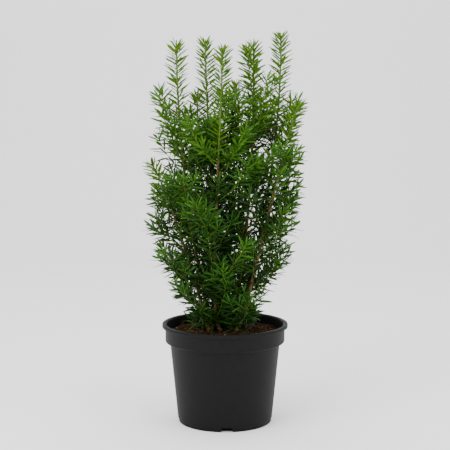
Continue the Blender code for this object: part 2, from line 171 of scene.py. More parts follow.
def stem_centre(stem, share):
    """Centre of a stem at a share of its height."""
    foot = np.array((*vec(stem.foot), SOIL_TOP + GAP))
    tip = vec(stem.tip) - (0, 0, LEADER_TUFT)
    lean = 1 - (1 - share) ** stem.bow
    centre = foot + (tip - foot) * (lean, lean, share)
    centre[0] += stem.sway * MM * math.sin(math.pi * share ** STEM_SWAY_POWER)
    return centre


def stem_radius(share, height):
    flare = STEM_FLARE * math.exp(-height / STEM_FLARE_HEIGHT)
    return between(STEM_FOOT_RADIUS, STEM_TIP_RADIUS, share) + flare


class Limb:
    """A stem as a line of centres with radii. The rings of its solid stand on it."""

    def __init__(self, centres, radii):
        self.centres = np.array(centres)
        self.radii = np.array(radii)

    def at_height(self, height):
        """Centre, direction and radius at a height, on the same straight runs as the solid."""
        heights = self.centres[:, 2]
        k = int(np.clip(np.searchsorted(heights, height) - 1, 0, len(heights) - 2))
        share = (height - heights[k]) / (heights[k + 1] - heights[k])
        centre = between(self.centres[k], self.centres[k + 1], share)
        radius = between(self.radii[k], self.radii[k + 1], share)
        return centre, unit(self.centres[k + 1] - self.centres[k]), radius

    def samples(self):
        """Closely spaced points along the limb."""
        shares = np.linspace(0, 1, LIMB_SAMPLES, endpoint=False)
        points = [between(a, b, s) for a, b in zip(self.centres, self.centres[1:]) for s in shares]
        return np.array(points + [self.centres[-1]])


def grow_stem(stem):
    """Centres of a stem from the soil to the end of its leader."""
    height = (stem.tip[2] * MM - LEADER_TUFT) - (SOIL_TOP + GAP)
    shares = np.linspace(0, 1, STEM_PARTS)
    centres = [stem_centre(stem, share) for share in shares]
    radii = [stem_radius(share, share * height) for share in shares]
    return Limb(centres, radii)


def crown_share(point):
    """How far out a point lies: 1 on the crown's outline, less inside it."""
    heights, lefts, rights = zip(*CROWN_OUTLINE)
    x, y, z = point.T
    left = np.interp(z, heights, lefts)
    right = np.interp(z, heights, rights)
    width = np.where(x < 0, left, right)
    depth = (left + right) / 2 * CROWN_DEPTH_RATIO
    return np.hypot(x / width, y / depth)


class Shoot:
    """The line of one side shoot: an arc in an upright plane, from its limb out and up to its tip."""

    def __init__(self, name, root, heading, tip):
        self.name = name
        self.side = unit(np.cross((0, 0, 1), heading))
        run = np.dot(tip - root, heading)
        rise = tip[2] - root[2]
        bend = root + heading * run * BEND_RUN + np.array((0, 0, rise * BEND_RISE))
        self.points = (root, bend, tip)

    def at(self, share):
        a, b, c = self.points
        return a * (1 - share) ** 2 + b * 2 * share * (1 - share) + c * share**2

    def direction(self, share):
        a, b, c = self.points
        return unit((b - a) * (1 - share) + (c - b) * share)

    def samples(self, start=0.0):
        return np.array([self.at(s) for s in np.linspace(start, 1, SPRAY_SAMPLES)])


def seat_on(limb, height, heading):
    """Where a shoot with a heading sits on its limb."""
    centre, along, radius = limb.at_height(height)
    square = unit(heading - along * np.dot(heading, along))
    return centre + square * (radius + GAP)


def aim_shoot(name, limb, height, azimuth, longest, slope):
    """A shoot that leaves its limb at a height and reaches the crown's outline or its own length."""
    turn = math.radians(azimuth)
    heading = np.array((math.cos(turn), math.sin(turn), 0))
    root = seat_on(limb, height, heading)
    for reach in np.arange(LEAST_REACH, longest, REACH_STEP):
        rise = max(LEAST_RISE, reach * slope)
        further = root + heading * (reach + REACH_STEP) + (0, 0, rise)
        if crown_share(further) > 1:
            break
    rise = max(LEAST_RISE, reach * slope)
    return Shoot(name, root, heading, root + heading * reach + (0, 0, rise))


def free_way(shoot, own, limbs, shoots):
    """The narrowest distance between the outer part of a shoot and everything else that grows."""
    line = shoot.samples(SPRAY_OUTER_SHARE)
    others = [limb.samples() for limb in limbs if limb is not own]
    others += [other.samples() for other in shoots]
    cloud = np.concatenate(others)
    return np.min(np.linalg.norm(line[:, None] - cloud[None], axis=2))


def place_shoot(name, limb, height, azimuth, longest, slope, limbs, shoots):
    """Turn a shoot away from its neighbours until it has a free way, or take the freest."""
    best = None
    for turn in SPRAY_TURNS:
        shoot = aim_shoot(name, limb, height, azimuth + turn, longest, slope)
        room = free_way(shoot, limb, limbs, shoots)
        if best is None or room > best[0]:
            best = (room, shoot)
        if room >= SPRAY_FREE_WAY:
            break
    return best[1]


def bough_shoot(name, limb, height, tip):
    """The line of a bough, from its limb to a named tip."""
    heading = unit((tip - limb.at_height(height)[0]) * (1, 1, 0))
    root = seat_on(limb, height, heading)
    tip = np.array((*(root + heading * np.dot(tip - root, heading))[:2], tip[2]))
    return Shoot(name, root, heading, tip)


def grow_shoots(stems, limbs):
    """The side shoots of every stem, pairs and boughs first and then the single ones."""
    shoots = []
    for stem, limb in zip(stems, limbs):
        if not stem.pair:
            continue
        base = stem.leader_foot()
        for side, drop in zip((-1, 1), PAIR_DROP):
            name = f"{stem.name}_{'upper' if side < 0 else 'top'}"
            named = [b for b in BOUGHS if b.stem == stem.name and b.side == side]
            if named:
                shoot = bough_shoot(name, limb, base - drop, vec(named[0].tip))
            else:
                azimuth = stem.facing + side * PAIR_SPREAD
                shoot = place_shoot(name, limb, base - drop, azimuth, PAIR_REACH, PAIR_SLOPE, limbs, shoots)
            shoots.append(shoot)
    for stem, limb in zip(stems, limbs):
        heights = np.linspace(stem.lowest, stem.highest, stem.singles) * MM
        for k, height in enumerate(heights):
            side = 1 if k % 2 else -1
            azimuth = stem.facing + side * SINGLE_SPREAD * (1 - SINGLE_SPREAD_LOSS * (k % 3))
            name = f"{stem.name}_{k + 1}"
            shoot = place_shoot(name, limb, height, azimuth, SINGLE_REACH, SINGLE_SLOPE, limbs, shoots)
            shoots.append(shoot)
    return shoots


def linear(hex_colour):
    """An sRGB hex colour as linear RGBA."""
    values = [int(hex_colour[k : k + 2], 16) / 255 for k in (0, 2, 4)]
    return (*[v / 12.92 if v <= 0.04045 else ((v + 0.055) / 1.055) ** 2.4 for v in values], 1)


def deeper(colour, share):
    """A colour with its light scaled down."""
    return (*[v * share for v in colour[:3]], 1)


def paler(colour):
    """The yellowish green of a needle's underside."""
    red, green, blue = colour[:3]
    return (red * 1.1 + 0.018, green * 1.1 + 0.01, blue + 0.002, 1)


def add_node(tree, kind, links=None, **settings):
    """Add a node with its settings and the links into its sockets."""
    node = tree.nodes.new(kind)
    for name, value in settings.items():
        if hasattr(node, name):
            setattr(node, name, value)
        else:
            node.inputs[name.replace("_", " ")].default_value = value
    for socket, source in (links or {}).items():
        tree.links.new(source, node.inputs[socket])
    return node


def mottled(name, dark, light, roughness, grain, specular=0.35, relief=None):
    """A finish that varies between two colours over a grain size in metres.

    A relief is given as its strength, its grain size and its depth.
    """
    material = bpy.data.materials.new(name)
    material.use_nodes = True
    tree = material.node_tree
    shader = tree.nodes["Principled BSDF"]
    shader.inputs["Roughness"].default_value = roughness
    shader.inputs["IOR"].default_value = 1.5
    shader.inputs["Specular IOR Level"].default_value = specular
    place = add_node(tree, "ShaderNodeTexCoord").outputs["Object"]
    spots = add_node(tree, "ShaderNodeTexNoise", {"Vector": place}, Scale=1 / grain, Detail=4.0)
    ramp = add_node(tree, "ShaderNodeValToRGB", {"Fac": spots.outputs["Fac"]})
    for stop, position, colour in zip(ramp.color_ramp.elements, (0.35, 0.65), (dark, light)):
        stop.position = position
        stop.color = colour
    tree.links.new(ramp.outputs["Color"], shader.inputs["Base Color"])
    if relief:
        strength, fine_grain, depth = relief
        fine = add_node(tree, "ShaderNodeTexNoise", {"Vector": place}, Scale=1 / fine_grain, Detail=6.0)
        bump = add_node(
            tree, "ShaderNodeBump", {"Height": fine.outputs["Fac"]}, Strength=strength, Distance=depth
        )
        tree.links.new(bump.outputs["Normal"], shader.inputs["Normal"])
    return material


def mesh_piece(name, vertices, faces, materials, finishes=None, smooth=True):
    """A joined mesh from arrays, with the number of a material for each face."""
    mesh = bpy.data.meshes.new(name)
    mesh.from_pydata(vertices, [], faces)
    for material in materials:
        mesh.materials.append(material)
    if finishes is not None:
        mesh.polygons.foreach_set("material_index", np.asarray(finishes, np.int32))
    if smooth:
        mesh.polygons.foreach_set("use_smooth", np.ones(len(mesh.polygons), bool))
    mesh.update()
    piece = bpy.data.objects.new(name, mesh)
    bpy.context.collection.objects.link(piece)
    return piece


def select_only(piece):
    bpy.ops.object.select_all(action="DESELECT")
    piece.select_set(True)
    bpy.context.view_layer.objects.active = piece


def apply_modifiers(piece):
    select_only(piece)
    for modifier in list(piece.modifiers):
        bpy.ops.object.modifier_apply(modifier=modifier.name)


def length_setting(name, description, metres):
    """A length that the user can change."""
    return bpy.props.FloatProperty(name=name, description=description, default=metres, unit="LENGTH")


def colour_setting(name, description, hex_colour):
    """A colour that the user can change."""
    return bpy.props.FloatVectorProperty(
        name=name, description=description, default=linear(hex_colour), subtype="COLOR", size=4, min=0, max=1
    )


class YewPotSettings(bpy.types.PropertyGroup):
    lip_width: length_setting("Width", "Width of the pot across its lip", 0.190)
    height: length_setting("Height", "Height of the pot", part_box("pot")[1][2])
    wall: length_setting("Wall", "Thickness of the pot's wall", 0.0017)


class YewPlantSettings(bpy.types.PropertyGroup):
    needle_length: length_setting("Needle length", "Length of a full needle", 0.0244)
    needle_width: length_setting("Needle width", "Width of a full needle", 0.0033)
    needle_spacing: length_setting("Needle spacing", "Length of shoot for each needle", 0.00182)
    seed: bpy.props.IntProperty(name="Seed", description="Seed of the growth rule", default=7)


class YewColours(bpy.types.PropertyGroup):
    pot: colour_setting("Pot", "Colour of the pot's plastic", "0a0a0b")
    soil: colour_setting("Soil", "Colour of the lighter parts of the peat", "3b2912")
    bark: colour_setting("Bark", "Colour of the lighter parts of the bark", "7b6133")
    shoot: colour_setting("Shoots", "Colour of the young shoots", "5f7c1a")
    fresh_tip: colour_setting("Needle tips", "Colour of the newest needles", "4a7410")
    fresh: colour_setting("Fresh needles", "Colour of this year's needles", "42700f")
    leaf: colour_setting("Needles", "Colour of full-grown needles", "3a6a14")
    # Inner and shaded needles: older needles, darker also for painted shade inside the crown and near the
    # stems
    deep: colour_setting("Inner needles", "Colour of the needles inside the crown", "2a5611")
    shade: colour_setting("Shaded needles", "Colour of the oldest needles near the stems", "1d400e")


# Pot: insets from the lip's edge and drops from its top
COLLAR_INSET = 4.8 * MM
SHOULDER_INSET = 12 * MM
BASE_INSET = 23.3 * MM
LIP_DROP = 5.5 * MM
COLLAR_DROP = 25.6 * MM
STEP_DROP = 30 * MM
FLOOR_THICKNESS = 2 * MM
FOOT_HEIGHT = 6.8 * MM
LIP_INNER_ROUND = 2.2 * MM
LIP_ROUND = 1.5 * MM
LIP_EDGE_ROUND = 0.9 * MM
LIP_ROOT_ROUND = 0.8 * MM
COLLAR_ROUND = 2.2 * MM
SHOULDER_ROUND = 1.2 * MM
FOOT_ROUND = 0.9 * MM
SOLE_ROUND = 1.1 * MM
POT_TURNS = 160
POT_MERGE = 0.01 * MM
POT_SMOOTH_TURN = 32
NOTCH_COUNT = 4
NOTCH_TURN = math.radians(2.3)
NOTCH_REACH = (61 * MM, 82 * MM)
NOTCH_SECTIONS = ((-1 * MM, 19 * MM), (6.5 * MM, 14.5 * MM))


def arc(x, z, radius, start, end, count):
    """Points of an arc in the XZ plane, with its turns in degrees."""
    turns = np.radians(np.linspace(start, end, count))
    return [(x + radius * math.cos(t), z + radius * math.sin(t)) for t in turns]


def pot_profile(pot):
    """Half section of the pot, from the floor's middle over the lip and down to the underside."""
    edge, top, wall = pot.lip_width / 2, pot.height, pot.wall
    collar, shoulder, base = edge - COLLAR_INSET, edge - SHOULDER_INSET, edge - BASE_INSET
    lip_foot = top - LIP_DROP
    step = top - STEP_DROP
    inner = collar - wall
    # Floor and the inside of the wall, step and collar
    points = [(0, FLOOR_THICKNESS), (base - wall - 2.2 * MM, FLOOR_THICKNESS)]
    points += [(base - wall - 0.2 * MM, FLOOR_THICKNESS + 1.6 * MM)]
    points += [(shoulder - wall, step - 0.6 * MM), (shoulder - wall + 0.8 * MM, step + 0.6 * MM)]
    points += [(collar - 3.6 * MM, top - 25.2 * MM), (inner - 1.7 * MM, top - 23 * MM)]
    points += [(inner, lip_foot)]
    # Rolled lip
    points += arc(inner + LIP_INNER_ROUND, top - LIP_INNER_ROUND, LIP_INNER_ROUND, 180, 90, 6)
    points += arc(edge - LIP_ROUND, top - LIP_ROUND, LIP_ROUND, 90, 0, 6)
    points += arc(edge - LIP_EDGE_ROUND, lip_foot + LIP_EDGE_ROUND, LIP_EDGE_ROUND, 0, -90, 4)
    points += arc(collar + LIP_ROOT_ROUND, lip_foot - LIP_ROOT_ROUND, LIP_ROOT_ROUND, 90, 180, 4)
    # Collar, step and tapered wall
    points += arc(collar - COLLAR_ROUND, top - COLLAR_DROP, COLLAR_ROUND, 0, -75, 6)
    points += arc(shoulder + SHOULDER_ROUND, step + 0.6 * MM, SHOULDER_ROUND, 100, 180, 5)
    points += [(base, FOOT_HEIGHT)]
    # Foot, set in a little from the wall
    points += arc(base - FOOT_ROUND, FOOT_HEIGHT - 0.4 * MM, FOOT_ROUND, 0, -90, 4)
    points += [(base - 1.3 * MM, 5.2 * MM)]
    points += arc(base - 2.4 * MM, SOLE_ROUND, SOLE_ROUND, 0, -90, 4)
    points += [(0, 0)]
    return points


def notch_cutter():
    """Four blocks for the drain notches in the pot's foot."""
    near, far = NOTCH_REACH
    vertices, faces = [], []
    for k in range(NOTCH_COUNT):
        turn = NOTCH_TURN + k * math.tau / NOTCH_COUNT
        cos, sin = math.cos(turn), math.sin(turn)
        start = len(vertices)
        for height, width in NOTCH_SECTIONS:
            for x, across in ((near, -0.5), (far, -0.5), (far, 0.5), (near, 0.5)):
                y = across * width
                vertices.append((x * cos - y * sin, x * sin + y * cos, height))
        sides = [(a, (a + 1) % 4, (a + 1) % 4 + 4, a + 4) for a in range(4)]
        for face in [(3, 2, 1, 0), (4, 5, 6, 7), *sides]:
            faces.append([start + corner for corner in face])
    return mesh_piece("notch_cutter", vertices, faces, [], smooth=False)


class YEW_OT_pot(bpy.types.Operator):
    """Make the moulded pot with its lip, collar, step and drain notches"""

    bl_idname = "yew.pot"
    bl_label = "Pot"

    def execute(self, context):
        profile = pot_profile(context.scene.yew_pot)
        edges = [(k, k + 1) for k in range(len(profile) - 1)]
        mesh = bpy.data.meshes.new("pot_shell")
        mesh.from_pydata([(x, 0, z) for x, z in profile], edges, [])
        piece = bpy.data.objects.new("pot_shell", mesh)
        context.collection.objects.link(piece)
        turn = piece.modifiers.new("Turn", "SCREW")
        turn.steps = turn.render_steps = POT_TURNS
        turn.use_merge_vertices = True
        turn.merge_threshold = POT_MERGE
        apply_modifiers(piece)
        cutter = notch_cutter()
        cut = piece.modifiers.new("Notches", "BOOLEAN")
        cut.object = cutter
        cut.operation = "DIFFERENCE"
        cut.solver = "EXACT"
        apply_modifiers(piece)
        bpy.data.objects.remove(cutter, do_unlink=True)
        select_only(piece)
        bpy.ops.object.mode_set(mode="EDIT")
        bpy.ops.mesh.select_all(action="SELECT")
        bpy.ops.mesh.normals_make_consistent(inside=False)
        bpy.ops.object.mode_set(mode="OBJECT")
        bpy.ops.object.shade_smooth_by_angle(angle=math.radians(POT_SMOOTH_TURN))
        # Polypropylene, injection moulded: satin black with a very fine texture
        black = context.scene.yew_colours.pot
        plastic = mottled(
            "pp_moulded_black",
            deeper(black, 0.7),
            black,
            roughness=0.58,
            grain=9 * MM,
            specular=0.15,
            relief=(0.12, 0.7 * MM, 0.1 * MM),
        )
        piece.data.materials.clear()
        piece.data.materials.append(plastic)
        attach(piece, "root")
        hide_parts("pot")
        return {"FINISHED"}


# Soil: a low mound with lumps and wide swells, weaker in its middle
SOIL_EDGE = 86.4 * MM
SOIL_RINGS = 46
SOIL_AROUND = 150
SOIL_FALL = 4.2 * MM
SOIL_FLOOR = 2.5 * MM
LUMP_GRAIN = 9 * MM
LUMP_HEIGHT = 1.9 * MM
LUMP_NOISE = (0.8, 2.1, 4)
SWELL_GRAIN = 26 * MM
SWELL_HEIGHT = 2.0 * MM
MIDDLE_RELIEF = 0.35

# Rings that close the peat inside the pot: radius and height in millimetres
SOIL_LOWER_RINGS = ((85.9, 127), (80.4, 120.4), (69.2, 14), (57, 2.5))

# Crumbs, grains and fibres: sizes, steps and lifts of fibres in millimetres
SOIL_SEED = 11
CRUMB_COUNT = 1100
CRUMB_SIZES = (0.7, 2.8)
GRAIN_COUNT = 120
GRAIN_SIZES = (0.5, 1.1)
CRUMB_MARGIN = 2.5 * MM
CRUMB_STRETCH = (0.7, 1.4)
CRUMB_FLATNESS = (1, 1, 0.7)
CRUMB_JOG = (0.8, 1.2)
CRUMB_LIFT = 0.25
FIBRE_COUNT = 210
FIBRE_RADIUS = 0.28 * MM
FIBRE_SIDES = 4
FIBRE_MARGIN = 8 * MM
FIBRE_END_MARGIN = 2 * MM
FIBRE_STEPS = (1.2, 2.6)
FIBRE_POINTS = 5
FIBRE_LIFT = 0.5
FIBRE_WAVE = 0.4
FIBRE_WAVE_STEP = 1.5
FIBRE_BEND = 0.5


def soil_height(x, y):
    """Height of the peat: a low mound in the middle, with lumps."""
    share = min(math.hypot(x, y) / SOIL_EDGE, 1)
    lumps = noise.fractal(Vector((x, y, 0)) / LUMP_GRAIN, *LUMP_NOISE) * LUMP_HEIGHT
    swells = noise.noise(Vector((x, y, 5)) / SWELL_GRAIN) * SWELL_HEIGHT
    relief = MIDDLE_RELIEF + (1 - MIDDLE_RELIEF) * share
    return SOIL_TOP - SOIL_FALL * share * share + (lumps + swells) * relief


def circle(radius, count):
    """Points of a level circle about the pot's axis."""
    turns = [j * math.tau / count for j in range(count)]
    return [(radius * math.cos(turn), radius * math.sin(turn)) for turn in turns]


def soil_mesh():
    """Corners and faces of the peat, from the middle of its top to the middle of its underside."""
    around = SOIL_AROUND
    vertices = [(0, 0, soil_height(0, 0))]
    for k in range(1, SOIL_RINGS + 1):
        vertices += [(x, y, soil_height(x, y)) for x, y in circle(SOIL_EDGE * k / SOIL_RINGS, around)]
    for radius, height in SOIL_LOWER_RINGS:
        vertices += [(x, y, height * MM) for x, y in circle(radius * MM, around)]
    rings = SOIL_RINGS + len(SOIL_LOWER_RINGS)
    faces = [(0, 1 + j, 1 + (j + 1) % around) for j in range(around)]
    for k in range(rings - 1):
        a, b = 1 + k * around, 1 + (k + 1) * around
        faces += [(a + j, b + j, b + (j + 1) % around, a + (j + 1) % around) for j in range(around)]
    last = 1 + (rings - 1) * around
    vertices.append((0, 0, SOIL_FLOOR))
    faces += [(len(vertices) - 1, last + (j + 1) % around, last + j) for j in range(around)]
    return vertices, faces


def place_on_soil(rng, margin):
    """A random place on the soil, away from its edge."""
    reach = (SOIL_EDGE - margin) * math.sqrt(rng.random())
    turn = rng.random() * math.tau
    return reach * math.cos(turn), reach * math.sin(turn)


class YEW_OT_soil(bpy.types.Operator):
    """Make the peat with its lumps, crumbs, fibres and light grains"""

    bl_idname = "yew.soil"
    bl_label = "Soil"

    def execute(self, context):
        # Moist peat: almost matt, dark brown and crumbly
        brown = context.scene.yew_colours.soil
        peat = mottled(
            "peat_moist",
            deeper(brown, 0.12),
            brown,
            roughness=0.92,
            grain=3.2 * MM,
            specular=0.12,
            relief=(0.8, 1.1 * MM, 0.7 * MM),
        )
        bed = mesh_piece("soil_bed", *soil_mesh(), [peat])
        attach(bed, "root")
        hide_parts("soil")
        rng = Random(SOIL_SEED)
        self.scatter("soil_crumbs", rng, CRUMB_COUNT, CRUMB_SIZES, peat)
        # Dry peat fibre: matt, thin and light brown on the dark soil
        fibre = mottled("peat_fibre", linear("5a3c22"), linear("93693c"), roughness=0.9, grain=2 * MM)
        self.fibres("soil_fibres", rng, FIBRE_COUNT, fibre)
        # Chipped bark: small pale grains with a matt surface
        grain = mottled("bark_chip_light", linear("7a634b"), linear("a58b6c"), roughness=0.85, grain=2 * MM)
        self.scatter("soil_grains", rng, GRAIN_COUNT, GRAIN_SIZES, grain)
        return {"FINISHED"}

    def scatter(self, name, rng, count, sizes, material):
        """Rough little lumps on the soil, each a stretched icosahedron with jogged corners."""
        bpy.ops.object.select_all(action="DESELECT")
        bpy.ops.mesh.primitive_ico_sphere_add(subdivisions=1, radius=1)
        model = bpy.context.object
        shape = np.array([v.co[:] for v in model.data.vertices])
        sides = np.array([p.vertices[:] for p in model.data.polygons])
        bpy.data.objects.remove(model, do_unlink=True)
        lumps, faces = [], []
        for _ in range(count):
            x, y = place_on_soil(rng, CRUMB_MARGIN)
            size = rng.uniform(*sizes) * MM
            stretch = np.array([rng.uniform(*CRUMB_STRETCH) for _ in range(3)]) * CRUMB_FLATNESS
            jog = np.array([[rng.uniform(*CRUMB_JOG)] for _ in shape])
            centre = (x, y, soil_height(x, y) + size * CRUMB_LIFT)
            faces.append(sides + len(shape) * len(lumps))
            lumps.append(shape * stretch * jog * size + centre)
        corners = np.concatenate(lumps)
        piece = mesh_piece(name, corners, np.concatenate(faces).tolist(), [material], smooth=False)
        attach(piece, "root")

    def fibres(self, name, rng, count, material):
        """Thin bent fibres that lie on the soil."""
        lines = []
        for _ in range(count):
            x, y = place_on_soil(rng, FIBRE_MARGIN)
            way = rng.random() * math.tau
            step = rng.uniform(*FIBRE_STEPS) * MM
            points = []
            for k in range(FIBRE_POINTS):
                lift = (FIBRE_LIFT + FIBRE_WAVE * math.sin(k * FIBRE_WAVE_STEP)) * MM
                points.append((x, y, soil_height(x, y) + lift))
                way += rng.uniform(-FIBRE_BEND, FIBRE_BEND)
                x, y = x + step * math.cos(way), y + step * math.sin(way)
                if math.hypot(x, y) > SOIL_EDGE - FIBRE_END_MARGIN:
                    break
            if len(points) > 2:
                lines.append((np.array(points), np.full(len(points), FIBRE_RADIUS)))
        piece = tubes(name, lines, FIBRE_SIDES, material)
        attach(piece, "root")


# Twigs: lengths and leans without MM are in millimetres
LEADER_OVERLAP = 12 * MM
TWIN_STEM = "right"
TWIN_FOOT = 470 * MM
TWIN_LEAN = (-10, -4, -6)
TWIG_SHARES = (0.26, 0.5, 0.72)
TWIG_SHIFT = 0.05
TWIG_GAP_CHANCE = 0.3
TWIG_LENGTH = 38
TWIG_LENGTH_LOSS = 20
TWIG_LENGTH_PLAY = (-4, 5)
TWIG_PITCHES = (-0.35, 0.25)
TWIG_BEND = (0.6, 0.8)
TWIG_TIP = (0.75, 0.7)
TWIG_LIFT = 0.12
TWIG_POINTS = 10
TWIG_CROWN_SHARE = 1.02
TWIG_SHORTENING = 0.8
TWIG_SEAT = 0.7
LEAST_TWIG = 9 * MM
LOW_TWIG_RISES = (5 * MM, 9 * MM, 13 * MM, 18 * MM)
LOW_TWIG_LENGTHS = (24, 38)
LOW_TWIG_PITCH = 0.35
LOW_TWIG_REACH = 58 * MM
INNER_TWIG_RISE = 22 * MM
INNER_TWIG_END = 8 * MM
INNER_TWIG_STEP = 14 * MM
INNER_TWIG_PLAY = (0.75, 1.25)
INNER_TWIG_LENGTHS = (38, 66)
INNER_TWIG_PITCH = 1.0
INNER_CROWN_SHARE = 0.98
GOLDEN_TURN = math.radians(137.5)

# Freshness and painted light: start values, and what height in metres, reach or place adds. Reach out of the
# crown adds painted light; height adds newer growth and painted light from above
SHOOT_FRESHNESS = 0.35
SHOOT_HIGH_FRESHNESS_AND_LIGHT = 0.3
SHOOT_HIGH_FROM = 0.2
SHOOT_HIGH_RANGE = 0.3
PAIR_FRESHNESS = 0.18
TWIG_STALENESS = 0.12
INNER_FRESHNESS = 0.05
INNER_OUT_PAINTED_LIGHT = 0.35
INNER_HIGH_FRESHNESS_AND_LIGHT = 0.15
INNER_HIGH_FROM = 0.15
INNER_HIGH_RANGE = 0.35

# Tubes, bark and green wood
TUBE_SIDE = (0.3, 1, 0.2)
TUBE_FOOT = 0.1 * MM
TUBE_TIP_SHARE = 0.8
BARK_OVERLAP = 8 * MM
BARK_STEP = 2.2 * MM
BARK_SIDES = 16
BARK_RELIEF = 0.28 * MM
BARK_GRAIN = 2.4 * MM
BARK_STRETCH = 0.35
LEADER_STEP = 4 * MM
TWIG_STEP = 5 * MM
TWIG_SIDES = 6
TWIG_TAPER = 0.55


def cross_frames(points):
    """Directions along a line and two square directions at each point, turned as little as can be."""
    ways = np.gradient(points, axis=0)
    ways /= np.linalg.norm(ways, axis=1)[:, None]
    across = [unit(np.cross(ways[0], TUBE_SIDE))]
    for way in ways[1:]:
        across.append(unit(across[-1] - way * np.dot(across[-1], way)))
    across = np.array(across)
    return ways, across, np.cross(ways, across)


def tubes(name, lines, sides, material, relief=0.0, grain=1 * MM):
    """Closed round tubes along lines, joined, with an optional relief of bark."""
    vertices, faces = [], []
    for points, radii in lines:
        ways, across, up = cross_frames(points)
        start = len(vertices)
        count = len(points)
        for point, radius, a, b in zip(points, radii, across, up):
            for j in range(sides):
                turn = j * math.tau / sides
                spoke = a * math.cos(turn) + b * math.sin(turn)
                place = point + spoke * radius
                if relief:
                    spot = Vector((place[0], place[1], place[2] * BARK_STRETCH)) / grain
                    place = place + spoke * relief * noise.noise(spot)
                vertices.append(place)
        for k in range(count - 1):
            a, b = start + k * sides, start + (k + 1) * sides
            faces += [(a + j, a + (j + 1) % sides, b + (j + 1) % sides, b + j) for j in range(sides)]
        vertices.append(points[0] - ways[0] * TUBE_FOOT)
        vertices.append(points[-1] + ways[-1] * radii[-1] * TUBE_TIP_SHARE)
        low, high = len(vertices) - 2, len(vertices) - 1
        end = start + (count - 1) * sides
        faces += [(low, start + (j + 1) % sides, start + j) for j in range(sides)]
        faces += [(high, end + j, end + (j + 1) % sides) for j in range(sides)]
    return mesh_piece(name, [tuple(v) for v in vertices], faces, [material])


class Twig(NamedTuple):
    """A line that bears needles past its bare share. Freshness and painted light run from 0, old and in
    painted shade, to 1, a new tip in painted light.
    """

    points: np.ndarray
    radius: float
    upright: bool
    freshness_and_light: float
    bare: float


def resample(points, step):
    """The line's points at even steps, with the length of the line."""
    runs = np.linalg.norm(np.diff(points, axis=0), axis=1)
    along = np.concatenate([[0], np.cumsum(runs)])
    count = max(4, int(along[-1] / step))
    marks = np.linspace(0, along[-1], count)
    return np.stack([np.interp(marks, along, points[:, k]) for k in range(3)], axis=1), along[-1]


def side_twig(rng, start, way, outward, length):
    """A short twig that leaves its shoot at an angle and curves a little upwards."""
    along, aside = TWIG_BEND
    middle = start + (way * along + outward * aside) * length * 0.5
    along, aside = TWIG_TIP
    lift = np.array((0, 0, TWIG_LIFT + rng.uniform(0, TWIG_LIFT)))
    tip = start + (way * along + outward * aside) * length + lift * length
    shares = np.linspace(0, 1, TWIG_POINTS)[:, None]
    return start * (1 - shares) ** 2 + middle * 2 * shares * (1 - shares) + tip * shares**2


def fitted_twig(rng, start, way, outward, length, outside):
    """A side twig, shortened while its tip is outside and it is long enough."""
    line = side_twig(rng, start, way, outward, length)
    while outside(line[-1]) and length > LEAST_TWIG:
        length *= TWIG_SHORTENING
        line = side_twig(rng, start, way, outward, length)
    return line


def stem_twig(rng, limb, height, turn, lengths, pitch, outside):
    """A twig that leaves a stem at a height, with a turn about it."""
    centre, _, radius = limb.at_height(height)
    outward = np.array((math.cos(turn), math.sin(turn), 0))
    length = rng.uniform(*lengths) * MM
    start = centre + outward * radius * TWIG_SEAT
    return fitted_twig(rng, start, np.array((0, 0, pitch)), outward, length, outside)


def past_crown(tip):
    return crown_share(tip) > TWIG_CROWN_SHARE


def past_inner_crown(tip):
    return crown_share(tip) > INNER_CROWN_SHARE


def past_soil(tip):
    """Whether a low twig's needles would come near the pot."""
    return np.hypot(*tip[:2]) > LOW_TWIG_REACH


def leader_twigs(limbs):
    """The leader of each stem, and a twin beside one of them."""
    twigs = []
    for stem, limb in zip(STEMS, limbs):
        line = limb.centres[limb.centres[:, 2] >= stem.leader_foot() - LEADER_OVERLAP]
        twigs.append(Twig(line, radius=1.2 * MM, upright=True, freshness_and_light=1.0, bare=0.0))
    names = [stem.name for stem in STEMS]
    centres = limbs[names.index(TWIN_STEM)].centres
    line = centres[centres[:, 2] >= TWIN_FOOT]
    line = line + np.linspace(0, 1, len(line))[:, None] * vec(TWIN_LEAN)
    twigs.append(Twig(line, radius=1.0 * MM, upright=True, freshness_and_light=0.9, bare=0.1))
    return twigs


def shoot_twigs(rng, shoots):
    """The side shoots, each followed by the twigs on both of its sides."""
    twigs = []
    for shoot in shoots:
        line = shoot.samples()
        # Higher shoots are fresher and also get painted light from above
        high = np.clip((line[-1][2] - SHOOT_HIGH_FROM) / SHOOT_HIGH_RANGE, 0, 1)
        pair = shoot.name.endswith(("_upper", "_top"))
        fresh = SHOOT_FRESHNESS + SHOOT_HIGH_FRESHNESS_AND_LIGHT * high + (PAIR_FRESHNESS if pair else 0)
        twigs.append(Twig(line, radius=0.95 * MM, upright=False, freshness_and_light=fresh, bare=0.06))
        for share in TWIG_SHARES:
            for side in (-1, 1):
                if rng.random() < TWIG_GAP_CHANCE:
                    continue
                start = shoot.at(share + rng.uniform(-TWIG_SHIFT, TWIG_SHIFT))
                way = shoot.direction(share)
                outward = shoot.side * side + np.array((0, 0, rng.uniform(*TWIG_PITCHES)))
                length = TWIG_LENGTH - TWIG_LENGTH_LOSS * share + rng.uniform(*TWIG_LENGTH_PLAY)
                line = fitted_twig(rng, start, way, outward, length * MM, past_crown)
                stale = fresh - TWIG_STALENESS
                twigs.append(Twig(line, radius=0.6 * MM, upright=False, freshness_and_light=stale, bare=0.04))
    return twigs


def low_twigs(rng, limb):
    """Short twigs at the foot of a stem, low over the soil."""
    twigs = []
    turn = rng.random() * math.tau
    for rise in LOW_TWIG_RISES:
        height = SOIL_TOP + rise
        line = stem_twig(rng, limb, height, turn, LOW_TWIG_LENGTHS, LOW_TWIG_PITCH, past_soil)
        # Low twigs over the soil hold old needles with painted shade
        twigs.append(Twig(line, radius=0.5 * MM, upright=False, freshness_and_light=0.3, bare=0.05))
        turn += GOLDEN_TURN
    return twigs


